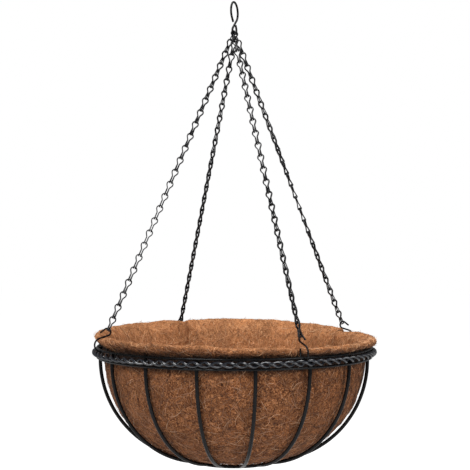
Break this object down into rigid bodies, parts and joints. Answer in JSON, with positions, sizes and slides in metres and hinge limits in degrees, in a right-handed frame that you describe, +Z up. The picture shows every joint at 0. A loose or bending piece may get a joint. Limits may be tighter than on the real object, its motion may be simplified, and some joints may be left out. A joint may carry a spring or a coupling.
{
  "type": "hanging basket",
  "caption": "Round wire hanging basket with a twisted-wire rim, bent wire ribs and a coconut-fibre liner, hung on four folded-link wire chains from a top hook.",
  "frame": {"origin": "inner top of the top hook's crook, where it sits on its bracket", "axes": "+Z up, -Y towards the front, +X to the right; the basket hangs below the origin"},
  "size_m": [0.4008, 0.4008, 0.6525],
  "materials": {
    "black_metal": "satin black powder coat",
    "chain_metal": "dark satin coated wire",
    "coir": "matted coconut fibre"
  },
  "bodies": {
    "top_hook": {"top_hook": "black_metal"},
    "basket": {"rim_top_ring": "black_metal", "rim_bottom_ring": "black_metal", "rim_twist_strand_a": "black_metal", "rim_twist_strand_b": "black_metal", "rib_01": "black_metal", "rib_02": "black_metal", "rib_03": "black_metal", "rib_04": "black_metal", "rib_05": "black_metal", "rib_06": "black_metal", "rib_07": "black_metal", "rib_08": "black_metal", "rib_09": "black_metal", "rib_10": "black_metal", "rib_11": "black_metal", "rib_12": "black_metal", "rib_13": "black_metal", "rib_14": "black_metal", "rib_15": "black_metal", "rib_16": "black_metal", "base_ring": "black_metal", "top_link_front_left": "chain_metal", "top_link_back_right": "chain_metal", "top_link_front_right": "chain_metal", "top_link_back_left": "chain_metal"},
    "liner": {"coir_liner": "coir"},
    "chain_front_left": {"chain_front_left": "chain_metal"},
    "s_hook_front_left": {"s_hook_front_left": "black_metal"},
    "chain_back_right": {"chain_back_right": "chain_metal"},
    "s_hook_back_right": {"s_hook_back_right": "black_metal"},
    "chain_front_right": {"chain_front_right": "chain_metal"},
    "s_hook_front_right": {"s_hook_front_right": "black_metal"},
    "chain_back_left": {"chain_back_left": "chain_metal"},
    "s_hook_back_left": {"s_hook_back_left": "black_metal"}
  },
  "joints": [
    {"name": "basket_swing", "type": "hinge", "parent": "top_hook", "child": "basket", "pos_m": [0, 0, -0.0426], "axis": [0.342, 0.9397, 0], "range_deg": [-30, 30]},
    {"name": "liner_lift", "type": "slide", "parent": "basket", "child": "liner", "axis": [0, 0, 1], "range_m": [0, 0.008]},
    {"name": "chain_twist_front_left", "type": "hinge", "parent": "basket", "child": "chain_front_left", "pos_m": [-0.18341, -0.06137, -0.488], "axis": [0.3767, 0.1228, 0.9181], "range_deg": [0, 3]},
    {"name": "s_hook_rock_front_left", "type": "hinge", "parent": "basket", "child": "s_hook_front_left", "pos_m": [-0.18341, -0.06137, -0.488], "axis": [0.3173, -0.9483, 0], "range_deg": [-1, 1]},
    {"name": "chain_twist_back_right", "type": "hinge", "parent": "basket", "child": "chain_back_right", "pos_m": [0.17155, 0.0893, -0.488], "axis": [-0.3524, -0.1804, 0.9183], "range_deg": [0, 3]},
    {"name": "s_hook_rock_back_right", "type": "hinge", "parent": "basket", "child": "s_hook_back_right", "pos_m": [0.17155, 0.0893, -0.488], "axis": [-0.4617, 0.887, 0], "range_deg": [-1, 1]},
    {"name": "chain_twist_front_right", "type": "hinge", "parent": "basket", "child": "chain_front_right", "pos_m": [0.0893, -0.17155, -0.488], "axis": [-0.1884, 0.3435, 0.9201], "range_deg": [0, 3]},
    {"name": "s_hook_rock_front_right", "type": "hinge", "parent": "basket", "child": "s_hook_front_right", "pos_m": [0.0893, -0.17155, -0.488], "axis": [0.887, 0.4617, 0], "range_deg": [-1, 1]},
    {"name": "chain_twist_back_left", "type": "hinge", "parent": "basket", "child": "chain_back_left", "pos_m": [-0.0893, 0.17155, -0.488], "axis": [0.1884, -0.3435, 0.9201], "range_deg": [0, 3]},
    {"name": "s_hook_rock_back_left", "type": "hinge", "parent": "basket", "child": "s_hook_back_left", "pos_m": [-0.0893, 0.17155, -0.488], "axis": [-0.887, -0.4617, 0], "range_deg": [-1, 1]}
  ]
}
